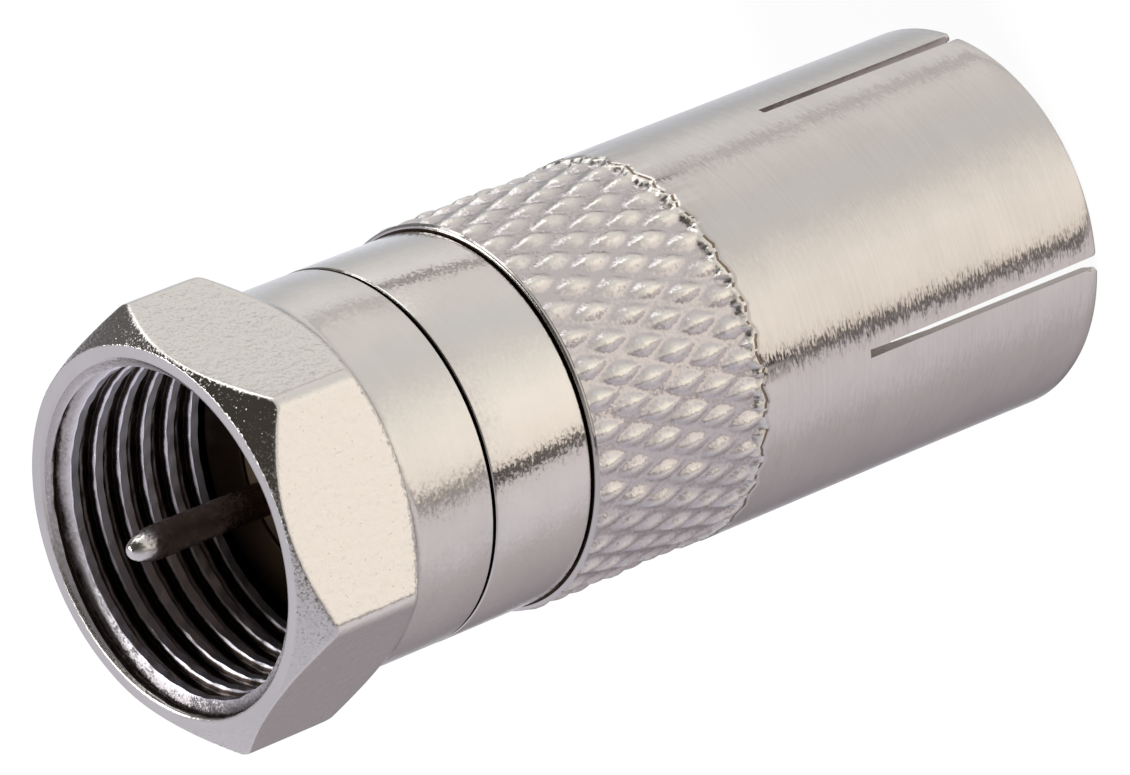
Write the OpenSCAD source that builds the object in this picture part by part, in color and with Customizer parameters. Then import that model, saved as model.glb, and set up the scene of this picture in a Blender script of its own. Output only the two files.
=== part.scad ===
// Coaxial adapter: F-type plug with a turning hexagon nut at the top,
// slotted aerial socket at the bottom. It stands on the socket's end face,
// its axis is +Z and z = 0 is the plane of that end face. Millimetres.

/* [Coupling nut] */
// Diameter of the nut's bore, which is the inner diameter of its thread
thread_bore_d = 8.8; // [8.4:0.02:9.2]
// Distance from one turn of the thread to the next
thread_pitch = 0.794; // [0.7:0.002:0.9]
// Depth of the thread's groove
thread_depth = 0.36; // [0.24:0.02:0.36]
// Angle at which the thread's groove starts, in the relief behind it
thread_turn = 167; // [0:1:359]
// Countersink at the mouth of the thread, measured along the radius
mouth_chamfer = 0.35; // [0.2:0.05:0.4]
// How much deeper than the thread the relief groove behind it is
relief_over = 0.02; // [0.02:0.01:0.06]
// Length of the relief groove, from the lip to the thread
relief_len = 0.85; // [0.7:0.05:1.5]
// Thickness of the inward lip that holds the nut on
nut_lip_t = 0.75; // [0.5:0.05:1]
// Wall of the round collar round the relief groove
collar_wall = 0.27; // [0.25:0.01:1]
// Length of the round collar
nut_collar_len = 2.6; // [2.2:0.1:4]
// Height of the hexagon's flats above the collar
flat_step = 0.11; // [0.08:0.01:0.4]
// Length of the hexagon along the axis
nut_hex_len = 4.0; // [3.4:0.1:6]
// Depth of the front face's circle below the flats
face_under = 0.07; // [0.03:0.01:0.15]
// Length of the front chamfer where it meets the corners
nut_front_chamfer = 0.8; // [0.3:0.05:1]
// Length of the rounding behind the hexagon, where it meets the corners
nut_back_chamfer = 0.7; // [0.4:0.05:1.6]
// Angle of one corner of the hexagon about the axis
nut_turn = 20.8; // [0:0.2:60]

/* [Retaining ferrule] */
// How far the ferrule's flange stands out from its neck
flange_reach = 0.45; // [0.3:0.05:0.6]
// Thickness of that flange
flange_t = 0.75; // [0.5:0.05:1]
// Wall of the ferrule's neck
neck_wall = 0.95; // [0.6:0.05:1.4]
// Depth to which the neck is pressed into the collar ring
neck_press_len = 3.8; // [2:0.1:4.4]

/* [Collar ring] */
// Height of the sleeve's surface above the plain ring
ring_step = 0.24; // [0.18:0.01:0.4]
// Length of the plain ring that shows
ring_len = 3.3; // [2.4:0.1:5]
// Wall of the spigot pressed into the sleeve
spigot_wall = 0.65; // [0.4:0.05:1.2]
// Length of the spigot
spigot_len = 2.5; // [1.5:0.1:3.5]
// Chamfer on the ring's edges
ring_chamfer = 0.12; // [0.05:0.01:0.25]

/* [Socket sleeve] */
// Step from the spigot's seat out to the socket's bore
seat_step = 0.35; // [0.2:0.01:0.45]
// Wall of the sleeve round the socket
sleeve_wall = 0.45; // [0.4:0.01:0.8]
// Length of the sleeve with its knurled grip
sleeve_len = 18.0; // [17:0.1:24]
// Depth of the socket
socket_depth = 10.0; // [9:0.1:10.6]
// Height of the lip that stops the rear insulator
sleeve_lip = 0.5; // [0.3:0.05:0.8]
// Thickness of that lip
sleeve_lip_t = 0.8; // [0.5:0.05:1.2]
// Chamfer on the outer edge of the sleeve's end
sleeve_edge = 0.12; // [0.05:0.01:0.2]
// Lead-in chamfer inside the sleeve's end
sleeve_lead_in = 0.2; // [0.05:0.01:0.25]

/* [Saw cuts] */
// Width of the saw cuts through the sleeve
saw_w = 0.24; // [0.2:0.01:0.8]
// Diameter of the slitting saw
saw_d = 40; // [30:1:80]
// Length of the first cut, on the sleeve's outside
saw_len_a = 7.2; // [4:0.1:8.6]
// Length of the second cut, on the sleeve's outside
saw_len_b = 8.4; // [4:0.1:8.6]
// Angle of the first cut about the axis
saw_turn = 178.4; // [175:0.1:185]
// Angle from the first cut to the second
saw_angle = 94.6; // [80:0.1:100]

/* [Knurled grip] */
// Number of diamonds round the grip
knurl_count = 38; // [24:2:44]
// Columns of diamonds along the grip
knurl_columns = 6; // [4:1:7]
// Distance along the axis from one column to the next
knurl_pitch = 0.96; // [0.7:0.01:0.98]
// Depth of the knurling grooves
knurl_depth = 0.26; // [0.1:0.01:0.3]
// Depth of the diamonds' tops below the sleeve's surface
knurl_below = 0.02; // [0.01:0.01:0.1]
// Width of the plain rim in front of the diamonds
knurl_rim = 0.1; // [0.06:0.01:0.3]
// Depth of that rim below the sleeve's surface
rim_drop = 0.1; // [0.06:0.01:0.14]
// Distance from the rim to the first column's centre line
knurl_first = 0.39; // [0.3:0.01:0.48]
// Angle of the first diamond about the axis
knurl_turn = 6.7; // [0:0.1:10]

/* [Centre contact] */
// Diameter of the pin
pin_d = 0.9; // [0.64:0.01:1.1]
// Length of pin that stands out of the nut
pin_out = 1.1; // [0.5:0.1:3]
// Length of the pin's bullet nose
pin_nose = 0.8; // [0.5:0.05:1.2]
// Diameter of the root on which the pin stands in the front insulator
pin_root_d = 2.4; // [1.8:0.1:3]
// Inner diameter of the socket contact
contact_bore_d = 2.4; // [2.3:0.01:2.5]
// Depth of the hole in the socket contact
contact_bore_len = 9.8; // [8:0.1:11]
// Wall of the socket contact
contact_wall = 0.45; // [0.3:0.05:0.6]
// Distance from the sleeve's end face to the socket contact
contact_recess = 1.0; // [0.3:0.1:2]
// Height of the shoulder that stops the contact
shoulder_step = 0.35; // [0.2:0.05:0.6]
// Thickness of that shoulder
shoulder_t = 0.5; // [0.3:0.05:0.7]
// Chamfer on the socket contact's end
contact_edge = 0.12; // [0.05:0.01:0.2]
// Width of the saw cut through the socket contact
contact_slit_w = 0.35; // [0.2:0.05:0.5]
// Length of that cut
contact_slit_len = 6.0; // [3:0.1:8]

/* [Fits] */
// Radial running clearance between the nut's lip and the neck
run_gap = 0.05; // [0.02:0.01:0.1]
// End play between the nut's lip and the flange
end_play = 0.05; // [0.02:0.01:0.1]
// Gap between the nut and the collar ring
nut_gap = 0.1; // [0.05:0.01:0.2]
// Radial clearance with which the flange passes the thread
pass_gap = 0.1; // [0.05:0.01:0.2]
// Depth of the front insulator below the flange's face
insulator_recess = 0.1; // [0:0.05:0.5]

/* [Hidden] */
$fn = 96;
eps = 0.01;
THREAD_STEPS = 36;

NICKEL = [0.80, 0.79, 0.77];
SATIN = [0.76, 0.75, 0.74];
TIN = [0.62, 0.58, 0.52];
PLASTIC = [0.90, 0.89, 0.86];

// heights of the stack, from the socket's end face up
z_lip = socket_depth;
z_seat = z_lip + sleeve_lip_t;
z_ring = sleeve_len;
z_spigot = z_ring - spigot_len;
z_ring_top = z_ring + ring_len;
z_nut = z_ring_top + nut_gap;
z_nut_hex = z_nut + nut_collar_len;
z_nut_top = z_nut_hex + nut_hex_len;
z_flange = z_nut + nut_lip_t + end_play;
z_flange_top = z_flange + flange_t;
z_neck = z_ring_top - neck_press_len;
z_shoulder = z_spigot + shoulder_t;
z_pin = z_flange_top - insulator_recess;
z_tip = z_nut_top + pin_out;

// radii and diameters that follow from the ones above
thread_root_r = thread_bore_d / 2 + thread_depth;
nut_relief_r = thread_root_r + relief_over;
nut_mouth_r = thread_bore_d / 2 + mouth_chamfer;
nut_collar_r = nut_relief_r + collar_wall;
nut_flat_r = nut_collar_r + flat_step;
nut_face_r = nut_flat_r - face_under;
nut_corner_r = nut_flat_r * 2 / sqrt(3);
// how far the chamfers' cones run on past the corners
cone_over = 0.4;
flange_r = thread_bore_d / 2 - pass_gap;
neck_r = flange_r - flange_reach;
lip_bore_r = neck_r + run_gap;
ferrule_bore_r = neck_r - neck_wall;
seat_r = neck_r + spigot_wall;
socket_r = seat_r + seat_step;
sleeve_r = socket_r + sleeve_wall;
sleeve_lip_r = seat_r - sleeve_lip;
ring_r = sleeve_r - ring_step;
contact_r = contact_bore_d / 2 + contact_wall;
shoulder_r = contact_r + shoulder_step;
knurl_crest_r = sleeve_r - knurl_below;
knurl_valley_r = knurl_crest_r - knurl_depth;
knurl_step = knurl_pitch / 2;
knurl_top = sleeve_len - knurl_rim;
knurl_bottom = knurl_top - knurl_first - (2 * knurl_columns - 1) * knurl_step;
rim_r = sleeve_r - rim_drop;

// A solid of revolution from [radius, height] points
module turned(outline) {
    rotate_extrude() polygon(outline);
}

// The thread's groove: a right-handed helix whose flanks lean 30 degrees from square,
// narrow at its root and open to the bore
module thread_groove(z_from, z_to) {
    steps = ceil((z_to - z_from) / thread_pitch * THREAD_STEPS);
    root = thread_pitch / 8;
    mouth = root + (thread_root_r - flange_r) * tan(30);
    section = [[flange_r, -mouth], [thread_root_r, -root], [thread_root_r, root], [flange_r, mouth]];
    sides = len(section);
    points = [for (i = [0:steps], p = section)
                  let (turn = i / THREAD_STEPS, a = thread_turn + 360 * turn)
                  [p[0] * cos(a), p[0] * sin(a), z_from + turn * thread_pitch + p[1]]];
    function at(i, k) = sides * i + k % sides;
    flanks = [for (i = [0:steps - 1], k = [0:sides - 1])
                  each [[at(i, k), at(i, k + 1), at(i + 1, k)],
                        [at(i, k + 1), at(i + 1, k + 1), at(i + 1, k)]]];
    ends = [[for (k = [sides - 1:-1:0]) at(0, k)], [for (k = [0:sides - 1]) at(steps, k)]];
    polyhedron(points = points, faces = concat(flanks, ends));
}

// Nut: hexagon cut back by a front chamfer and a back rounding, round collar,
// countersunk bore, relief groove and the lip that the ferrule's flange holds
module coupling_nut() {
    bore_r = thread_bore_d / 2;
    cone_r = nut_corner_r + cone_over;
    back_cone = nut_back_chamfer * (cone_r - nut_collar_r) / (nut_corner_r - nut_collar_r);
    front_cone = nut_front_chamfer * (cone_r - nut_face_r) / (nut_corner_r - nut_face_r);
    z_relief = z_nut + nut_lip_t;
    z_thread = z_relief + relief_len;
    color(NICKEL) difference() {
        union() {
            intersection() {
                translate([0, 0, z_nut_hex]) rotate(nut_turn)
                    cylinder(r = nut_corner_r, h = nut_hex_len, $fn = 6);
                turned([[0, z_nut_hex - eps],
                        [nut_collar_r, z_nut_hex - eps],
                        [nut_collar_r, z_nut_hex],
                        [cone_r, z_nut_hex + back_cone],
                        [cone_r, z_nut_top - front_cone],
                        [nut_face_r, z_nut_top],
                        [0, z_nut_top]]);
            }
            translate([0, 0, z_nut])
                cylinder(r = nut_collar_r, h = nut_collar_len + eps);
        }
        turned([[0, z_nut - 1],
                [lip_bore_r, z_nut - 1],
                [lip_bore_r, z_relief],
                [nut_relief_r, z_relief],
                [nut_relief_r, z_thread + thread_bore_d / 2 - nut_relief_r],
                [bore_r, z_thread],
                [bore_r, z_nut_top - mouth_chamfer],
                [nut_mouth_r, z_nut_top],
                [nut_mouth_r, z_nut_top + 1],
                [0, z_nut_top + 1]]);
        thread_groove(z_relief + relief_len / 2, z_nut_top + thread_pitch / 2);
    }
}

// Ferrule: a flanged tube whose flange passes the thread and traps the nut
module retaining_ferrule() {
    color(SATIN) turned([[ferrule_bore_r, z_neck],
                         [neck_r, z_neck],
                         [neck_r, z_flange],
                         [flange_r, z_flange],
                         [flange_r, z_flange_top],
                         [ferrule_bore_r, z_flange_top]]);
}

// Plain ring that shows behind the nut, with the spigot that joins the sleeve
module collar_ring() {
    color(NICKEL) turned([[neck_r, z_spigot],
                          [seat_r, z_spigot],
                          [seat_r, z_ring],
                          [ring_r - ring_chamfer, z_ring],
                          [ring_r, z_ring + ring_chamfer],
                          [ring_r, z_ring_top - ring_chamfer],
                          [ring_r - ring_chamfer, z_ring_top],
                          [neck_r, z_ring_top]]);
}

// Radius of the knurling at grid line m along the axis and step j round it:
// diamond centres and the points half way to their corners stand at the crest,
// groove crossings and the middles of the diamonds' sides lie in the valley
function knurl_r(m, j) =
    (m % 2 != 0 && j % 2 != 0) ? knurl_valley_r :
    (m % 2 == 0 && j % 2 == 0 && (m / 2 + j / 2) % 2 != 0) ? knurl_valley_r :
    knurl_crest_r;

// Whether that grid point is in the valley
function is_low(m, j) = knurl_r(m, j) < knurl_crest_r;

// The ring of diamonds, which reaches a little into the rims at both ends
module knurled_ring() {
    // grid line of the pattern at which the ring starts
    first = 3;
    lines = 2 * knurl_columns + 1;
    steps = 4 * knurl_count;
    core_r = (knurl_valley_r + socket_r) / 2;
    function line_z(m) = m == 0 ? knurl_top + knurl_rim / 2 : knurl_top - knurl_first - (m - 1) * knurl_step;
    function ring_point(m, j, r) =
        let (a = knurl_turn + 360 * j / steps)
        [r * cos(a), r * sin(a), line_z(m)];
    outer = [for (m = [0:lines]) for (j = [0:steps - 1])
                 ring_point(m, j, knurl_r(m + first, j))];
    inner = [for (m = [0, lines]) for (j = [0:steps - 1])
                 ring_point(m, j, core_r)];
    function at(m, j) = m * steps + j % steps;
    core = (lines + 1) * steps;
    function core_at(end, j) = core + end * steps + j % steps;
    // each small square is split along the line between its two crest points,
    // or along the groove where it touches a crossing of grooves
    function split(m, j) =
        let (a = at(m, j), b = at(m, j + 1), c = at(m + 1, j + 1), d = at(m + 1, j),
             n = m + first,
             low_a = is_low(n, j), low_b = is_low(n, j + 1),
             low_c = is_low(n + 1, j + 1), low_d = is_low(n + 1, j))
        (low_a && low_c) || !(low_a || low_c || (low_b && low_d)) ?
            [[a, b, c], [a, c, d]] : [[a, b, d], [b, c, d]];
    relief = [for (m = [0:lines - 1]) for (j = [0:steps - 1]) each split(m, j)];
    bore = [for (j = [0:steps - 1])
                [core_at(0, j + 1), core_at(0, j), core_at(1, j), core_at(1, j + 1)]];
    top = [for (j = [0:steps - 1]) [at(0, j + 1), at(0, j), core_at(0, j), core_at(0, j + 1)]];
    bottom = [for (j = [0:steps - 1])
                  [at(lines, j), at(lines, j + 1), core_at(1, j + 1), core_at(1, j)]];
    polyhedron(points = concat(outer, inner), faces = concat(relief, bore, top, bottom));
}

// A slitting saw's disc, run in from the end until its cut on the outside is len long
module saw_cut(len, width, outer_r, z_end) {
    depth = sqrt(pow(saw_d / 2, 2) - pow(outer_r, 2));
    translate([0, width / 2, z_end + len - depth]) rotate([90, 0, 0])
        cylinder(d = saw_d, h = width, $fn = 180);
}

// Socket sleeve: one turned piece with the knurled grip and four slotted tines
module rear_sleeve() {
    groove_r = knurl_valley_r - eps;
    color(NICKEL) difference() {
        union() {
            turned([[socket_r + sleeve_lead_in, 0],
                    [sleeve_r - sleeve_edge, 0],
                    [sleeve_r, sleeve_edge],
                    [sleeve_r, knurl_bottom],
                    [groove_r, knurl_bottom],
                    [groove_r, knurl_top],
                    [rim_r, knurl_top],
                    [rim_r, sleeve_len],
                    [seat_r, sleeve_len],
                    [seat_r, z_seat],
                    [sleeve_lip_r, z_seat],
                    [sleeve_lip_r, z_lip],
                    [socket_r, z_lip],
                    [socket_r, sleeve_lead_in]]);
            knurled_ring();
        }
        rotate(saw_turn) saw_cut(saw_len_a, saw_w, sleeve_r, 0);
        rotate(saw_turn + saw_angle) saw_cut(saw_len_b, saw_w, sleeve_r, 0);
    }
}

// Rear insulator: a stepped disc held between the sleeve's lip and the ring's spigot
module rear_insulator() {
    color(PLASTIC) turned([[contact_r, z_lip],
                           [sleeve_lip_r, z_lip],
                           [sleeve_lip_r, z_seat],
                           [seat_r, z_seat],
                           [seat_r, z_spigot],
                           [contact_r, z_spigot]]);
}

// Front insulator: a bead in the ferrule, with a flange under the ferrule's end
module front_insulator() {
    color(PLASTIC) turned([[shoulder_r, z_spigot],
                           [neck_r, z_spigot],
                           [neck_r, z_neck],
                           [ferrule_bore_r, z_neck],
                           [ferrule_bore_r, z_pin],
                           [pin_root_d / 2, z_pin],
                           [pin_root_d / 2, z_shoulder],
                           [shoulder_r, z_shoulder]]);
}

// Centre contact: one turned piece, slit socket below, shoulder, pin above
module centre_contact() {
    nose_r = pin_d / 2;
    tip_r = nose_r * 0.35;
    z_end = contact_recess;
    z_nose = z_tip - pin_nose;
    color(TIN) difference() {
        turned([[0, z_end],
                [contact_r - contact_edge, z_end],
                [contact_r, z_end + contact_edge],
                [contact_r, z_spigot],
                [shoulder_r, z_spigot],
                [shoulder_r, z_shoulder],
                [pin_root_d / 2, z_shoulder],
                [pin_root_d / 2, z_pin],
                [nose_r, z_pin],
                for (a = [0:15:90])
                    [tip_r + (nose_r - tip_r) * cos(a), z_nose + pin_nose * sin(a)],
                [0, z_tip]]);
        translate([0, 0, z_end - 1]) cylinder(d = contact_bore_d, h = contact_bore_len + 1);
        saw_cut(contact_slit_len, contact_slit_w, contact_r, z_end);
    }
}

rear_sleeve();
collar_ring();
retaining_ferrule();
coupling_nut();
rear_insulator();
front_insulator();
centre_contact();
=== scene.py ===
# %% [markdown]
# # A coaxial adapter in satin nickel
#
# The real adapter joins two kinds of aerial cable. A hexagon nut with a fine
# inner thread turns on one end, and a centre pin stands in it. The other end is
# a knurled grip that runs out into a thin slotted sleeve. Nearly all of it is
# turned brass with a satin nickel plate, so its looks come from true edges,
# fine turning marks and what the metal mirrors. The frame holds the plain solids.
# They could be dressed with modifiers, but grids worked out with numpy put every
# point where the lathe, the saw and the knurling wheel would have put it.

# %% Load the frame
import math

import bmesh
import bpy
import numpy as np
from mathutils import Matrix


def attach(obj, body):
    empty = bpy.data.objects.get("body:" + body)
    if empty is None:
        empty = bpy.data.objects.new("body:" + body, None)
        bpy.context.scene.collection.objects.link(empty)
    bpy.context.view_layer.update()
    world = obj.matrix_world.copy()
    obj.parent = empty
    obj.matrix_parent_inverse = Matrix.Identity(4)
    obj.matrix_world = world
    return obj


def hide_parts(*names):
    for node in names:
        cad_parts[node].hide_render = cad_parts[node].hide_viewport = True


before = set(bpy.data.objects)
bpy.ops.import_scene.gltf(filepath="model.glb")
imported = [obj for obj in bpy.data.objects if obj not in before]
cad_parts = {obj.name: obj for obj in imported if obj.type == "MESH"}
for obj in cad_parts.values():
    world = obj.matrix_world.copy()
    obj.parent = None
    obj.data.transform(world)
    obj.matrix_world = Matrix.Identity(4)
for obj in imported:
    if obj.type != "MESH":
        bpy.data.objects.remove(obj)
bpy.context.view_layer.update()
MM = 0.001

# %% [markdown]
# ## Sizes
#
# Every length is in millimetres, measured along the axis from the sleeve's end
# face, on which the adapter stands, and from the axis outwards. They are the
# sizes that the parts were turned to, so each new surface lies on its solid.

# %% Sizes
sleeve_r, socket_r, seat_r, sleeve_lip_r = 5.3, 4.85, 4.5, 4.0
sleeve_top, socket_top, seat_z = 18.0, 10.0, 10.8
ring_r, neck_r, ring_top, spigot_z, neck_z = 5.06, 3.85, 21.3, 15.5, 17.5
nut_z, hex_z, nut_top = 21.4, 24.0, 28.0
flange_z, flange_top, flange_r, ferrule_bore_r = 22.2, 22.95, 4.3, 2.9
pin_r, pin_tip, insulator_z = 0.45, 29.1, 22.85
contact_r, contact_bore, root_r, shoulder_r, shoulder_z = 1.65, 1.2, 1.2, 2.0, 16.0
print("the nut's face is at", nut_top, "mm and the pin's tip at", pin_tip, "mm")

# %% [markdown]
# ## Surfaces from grids
#
# A turned piece is a closed outline carried round the axis. Blender's Screw
# modifier or Spin tool could turn it, but a grid also lets the outline change with
# the angle, as a hexagon, a thread and a knurl need. Its points form one row for
# each point of the outline and one column for each angle. The outline runs
# outwards along the bottom, up the outside, inwards along the top and down the
# bore, which makes every face point outwards.


# %% Grid helpers
def grid_faces(rows, columns):
    """Four corners for each square between row i, i + 1 and column j, j + 1,
    where the last row joins the first and the last column joins the first."""
    i, j = np.meshgrid(np.arange(rows), np.arange(columns), indexing="ij")
    i1, j1 = (i + 1) % rows, (j + 1) % columns
    return np.stack([i * columns + j, i * columns + j1, i1 * columns + j1, i1 * columns + j], -1)


def grid_uvs(rows, columns):
    """u runs from 0 to 1 round the axis and v from 0 to 1 along the outline."""
    i, j = np.meshgrid(np.arange(rows), np.arange(columns), indexing="ij")
    u, v = [j, j + 1, j + 1, j], [i, i, i + 1, i + 1]
    return np.stack([np.stack(u, -1) / columns, np.stack(v, -1) / rows], -1)


def level_rows(profile, columns):
    """The radius and the height of each profile point, the same in every column."""
    size = (len(profile), columns)
    return np.broadcast_to(profile[:, :1], size), np.broadcast_to(profile[:, 1:], size)


def round_axis(radius, height, angle):
    """Points (radius cos angle, radius sin angle, height) as one array."""
    radius, height, angle = np.broadcast_arrays(radius, height, angle)
    return np.stack([radius * np.cos(angle), radius * np.sin(angle), height], -1)


# %% From a grid to a mesh
def make_piece(name, points, faces, uvs, finish=None, sharp=40):
    """A mesh object at the origin from points in millimetres, face corners and
    their texture places. finish gives each face's material number."""
    mesh = bpy.data.meshes.new(name)
    mesh.from_pydata((points.reshape(-1, 3) * MM).tolist(), [], faces)
    mesh.uv_layers.new(name="turned").data.foreach_set("uv", np.ravel(uvs).astype(np.float32))
    mesh.polygons.foreach_set("use_smooth", np.ones(len(faces), bool))
    if finish is not None:
        mesh.polygons.foreach_set("material_index", np.ravel(finish).astype(np.int32))
    mesh.set_sharp_from_angle(angle=math.radians(sharp))
    piece = bpy.data.objects.new(name, mesh)
    bpy.context.scene.collection.objects.link(piece)
    mesh.calc_loop_triangles()
    print(name, "has", len(mesh.loop_triangles), "triangles")
    return piece


def close_up(piece):
    """Merge the points of a piece that fall on one another."""
    mesh = bmesh.new()
    mesh.from_mesh(piece.data)
    bmesh.ops.remove_doubles(mesh, verts=mesh.verts, dist=1e-7)
    mesh.to_mesh(piece.data)
    mesh.free()


# %% [markdown]
# ## Turned outlines
#
# No turned edge is perfectly sharp. A Bevel modifier could round the edges, but
# here each corner of the outline is replaced by a short curve before it is turned,
# so that each edge has its own radius and catches a thin line of light. A turned
# piece then needs only its outline and its radii.


# %% Rounded outlines
def rounded(outline, radius=0.05, steps=4):
    """Each corner P becomes the curve (1-s)^2 A + 2s(1-s) P + s^2 B, where A and B
    lie on the two sides at the rounding's length from P and s runs from 0 to 1."""
    corner = np.array(outline, float)
    side = np.roll(corner, -1, 0) - corner
    length = np.linalg.norm(side, axis=1, keepdims=True)
    ahead = side / length
    behind = np.roll(ahead, 1, 0)
    reach = np.minimum(np.broadcast_to(np.reshape(radius, (-1, 1)), length.shape), 0.45 * length)
    reach = np.minimum(reach, 0.45 * np.roll(length, 1, 0))
    s = np.linspace(0, 1, steps)[:, None, None]
    curve = ((1 - s) ** 2 * (corner - behind * reach) + 2 * s * (1 - s) * corner
             + s ** 2 * (corner + ahead * reach))
    return curve.transpose(1, 0, 2).reshape(-1, 2)


def turned(name, outline, columns=240):
    """The outline's points (radius, height) carried round the axis."""
    angle = np.arange(columns) / columns * math.tau
    points = round_axis(outline[:, :1], outline[:, 1:], angle[None])
    rows = len(outline)
    faces = grid_faces(rows, columns).reshape(-1, 4)
    return make_piece(name, points, faces.tolist(), grid_uvs(rows, columns))


# %% [markdown]
# ## Finishes
#
# Satin nickel is a metal whose fine turning marks run round the axis. They spread
# reflections along the axis but hardly round it, which is why long light and dark
# bands stay crisp on such parts. An image of scratches could do this, but it would
# repeat, so it is an anisotropic gloss with its direction from the texture places.
# Marks and grain are noise: stretched round the axis on turned faces, and even on
# the milled flats of the nut. On the grip, the thread, the mouth and the pin the colour
# follows the distance from the axis, with painted shade darkening the grooves and the
# pin's shaft, and painted light on the tops.


# %% Node helpers
def node_adder(tree):
    """Empty a node tree and give a function that adds a node to it. Its inputs are
    linked where they are sockets and set where they are values."""
    tree.nodes.clear()

    def add(kind, inputs=(), **settings):
        node = tree.nodes.new("ShaderNode" + kind)
        for key, value in settings.items():
            setattr(node, key, value)
        for socket, value in dict(inputs).items():
            if isinstance(value, bpy.types.NodeSocket):
                tree.links.new(value, node.inputs[socket])
            else:
                node.inputs[socket].default_value = value
        return node

    return add


def new_material(name):
    """An empty node material and the function that adds its nodes."""
    material = bpy.data.materials.new(name)
    material.use_nodes = True
    return material, node_adder(material.node_tree)


# %% Colours in nodes
def blend(add, factor, first, second):
    """Two colours mixed by factor, where each is a socket or three numbers."""
    sides = [c if isinstance(c, bpy.types.NodeSocket) else (*c, 1) for c in (first, second)]
    return add("Mix", {"Factor": factor, "A": sides[0], "B": sides[1]}, data_type="RGBA").outputs[2]


def set_stops(ramp, stops):
    """Fill a colour ramp from a sorted list of (place from 0 to 1, colour)."""
    elements = ramp.color_ramp.elements
    elements[0].position, elements[1].position = stops[0][0], stops[-1][0]
    elements[0].color, elements[1].color = (*stops[0][1], 1), (*stops[-1][1], 1)
    for position, colour in stops[1:-1]:
        elements.new(position).color = (*colour, 1)


# %% Marks and specks
def turning_marks(add, fineness):
    """Coordinates for marks that run round the axis: slow along x and y, and fast
    along height plus distance from the axis."""
    place = add("TexCoord").outputs["Object"]
    split = add("SeparateXYZ", {0: place})
    x, y, z = split.outputs
    square_x = add("Math", {0: x, 1: x}, operation="MULTIPLY")
    square = add("Math", {0: y, 1: y, 2: square_x.outputs[0]}, operation="MULTIPLY_ADD")
    out = add("Math", {0: square.outputs[0]}, operation="SQRT")
    along = add("Math", {0: z, 1: out.outputs[0]}, operation="ADD")
    fast = add("Math", {0: along.outputs[0], 1: fineness}, operation="MULTIPLY")
    return add("CombineXYZ", {0: x, 1: y, 2: fast.outputs[0]}).outputs[0]


def crinkled(add, normal, size, amount):
    """The normal leaning every way by amount times an even noise of the given size
    in millimetres, which breaks reflections into fine specks."""
    place = add("TexCoord").outputs["Object"]
    noise = add("TexNoise", {"Vector": place, "Scale": 1 / (size * MM), "Detail": 2,
                             "Roughness": 0.6})
    centred = add("VectorMath", {0: noise.outputs["Color"], 1: (0.5, 0.5, 0.5)},
                  operation="SUBTRACT")
    lean = add("VectorMath", {0: centred.outputs[0], "Scale": amount}, operation="SCALE")
    total = add("VectorMath", {0: normal, 1: lean.outputs[0]}, operation="ADD")
    return add("VectorMath", {0: total.outputs[0]}, operation="NORMALIZE").outputs[0]


# %% Satin nickel, turned
def turned_nickel(name, colour, roughness, needles=0.10, crinkle=0.08, streaks=0.05, turning=1.0):
    """The normal leans round the axis by needles times a noise of short marks, which
    frays the edges of the bands that it mirrors, and every way by crinkle. Streaks
    of long marks make the plate lighter and darker, and turning is how much its
    gloss is drawn out by the marks, from 0 to 1."""
    material, add = new_material(name)
    short = add("TexNoise", {"Vector": turning_marks(add, 4), "Scale": 3900,
                             "Detail": 2, "Roughness": 0.6})
    long = add("TexNoise", {"Vector": turning_marks(add, 60), "Scale": 260,
                            "Detail": 3, "Roughness": 0.7})
    place = add("TexCoord").outputs["Object"]
    cloud = add("TexNoise", {"Vector": place, "Scale": 700, "Detail": 3})
    streak = add("MapRange", {"Value": long.outputs["Fac"], "From Min": 0.3, "From Max": 0.7,
                              "To Min": -streaks, "To Max": streaks})
    tint = add("MapRange", {"Value": cloud.outputs["Fac"], "From Min": 0.3, "From Max": 0.7,
                            "To Min": 0.84, "To Max": 0.96})
    worn = add("Math", {0: tint.outputs[0], 1: streak.outputs[0]}, operation="ADD")
    shade = blend(add, worn.outputs[0], [0.5 * c for c in colour], colour)
    tangent = add("Tangent", direction_type="UV_MAP", uv_map="turned")
    lean = add("MapRange", {"Value": short.outputs["Fac"], "To Min": -needles, "To Max": needles})
    leaning = add("VectorMath", {0: tangent.outputs[0], "Scale": lean.outputs[0]},
                  operation="SCALE")
    flat = add("NewGeometry").outputs["Normal"]
    normal = add("VectorMath", {0: flat, 1: leaning.outputs[0]}, operation="ADD")
    shader = add("BsdfPrincipled", {
        "Base Color": shade, "Metallic": 1.0, "Roughness": roughness,
        "Anisotropic": turning, "Anisotropic Rotation": 0.25, "Tangent": tangent.outputs[0],
        "Normal": crinkled(add, normal.outputs[0], 0.1, crinkle)})
    add("OutputMaterial", {"Surface": shader.outputs[0]})
    return material


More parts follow.
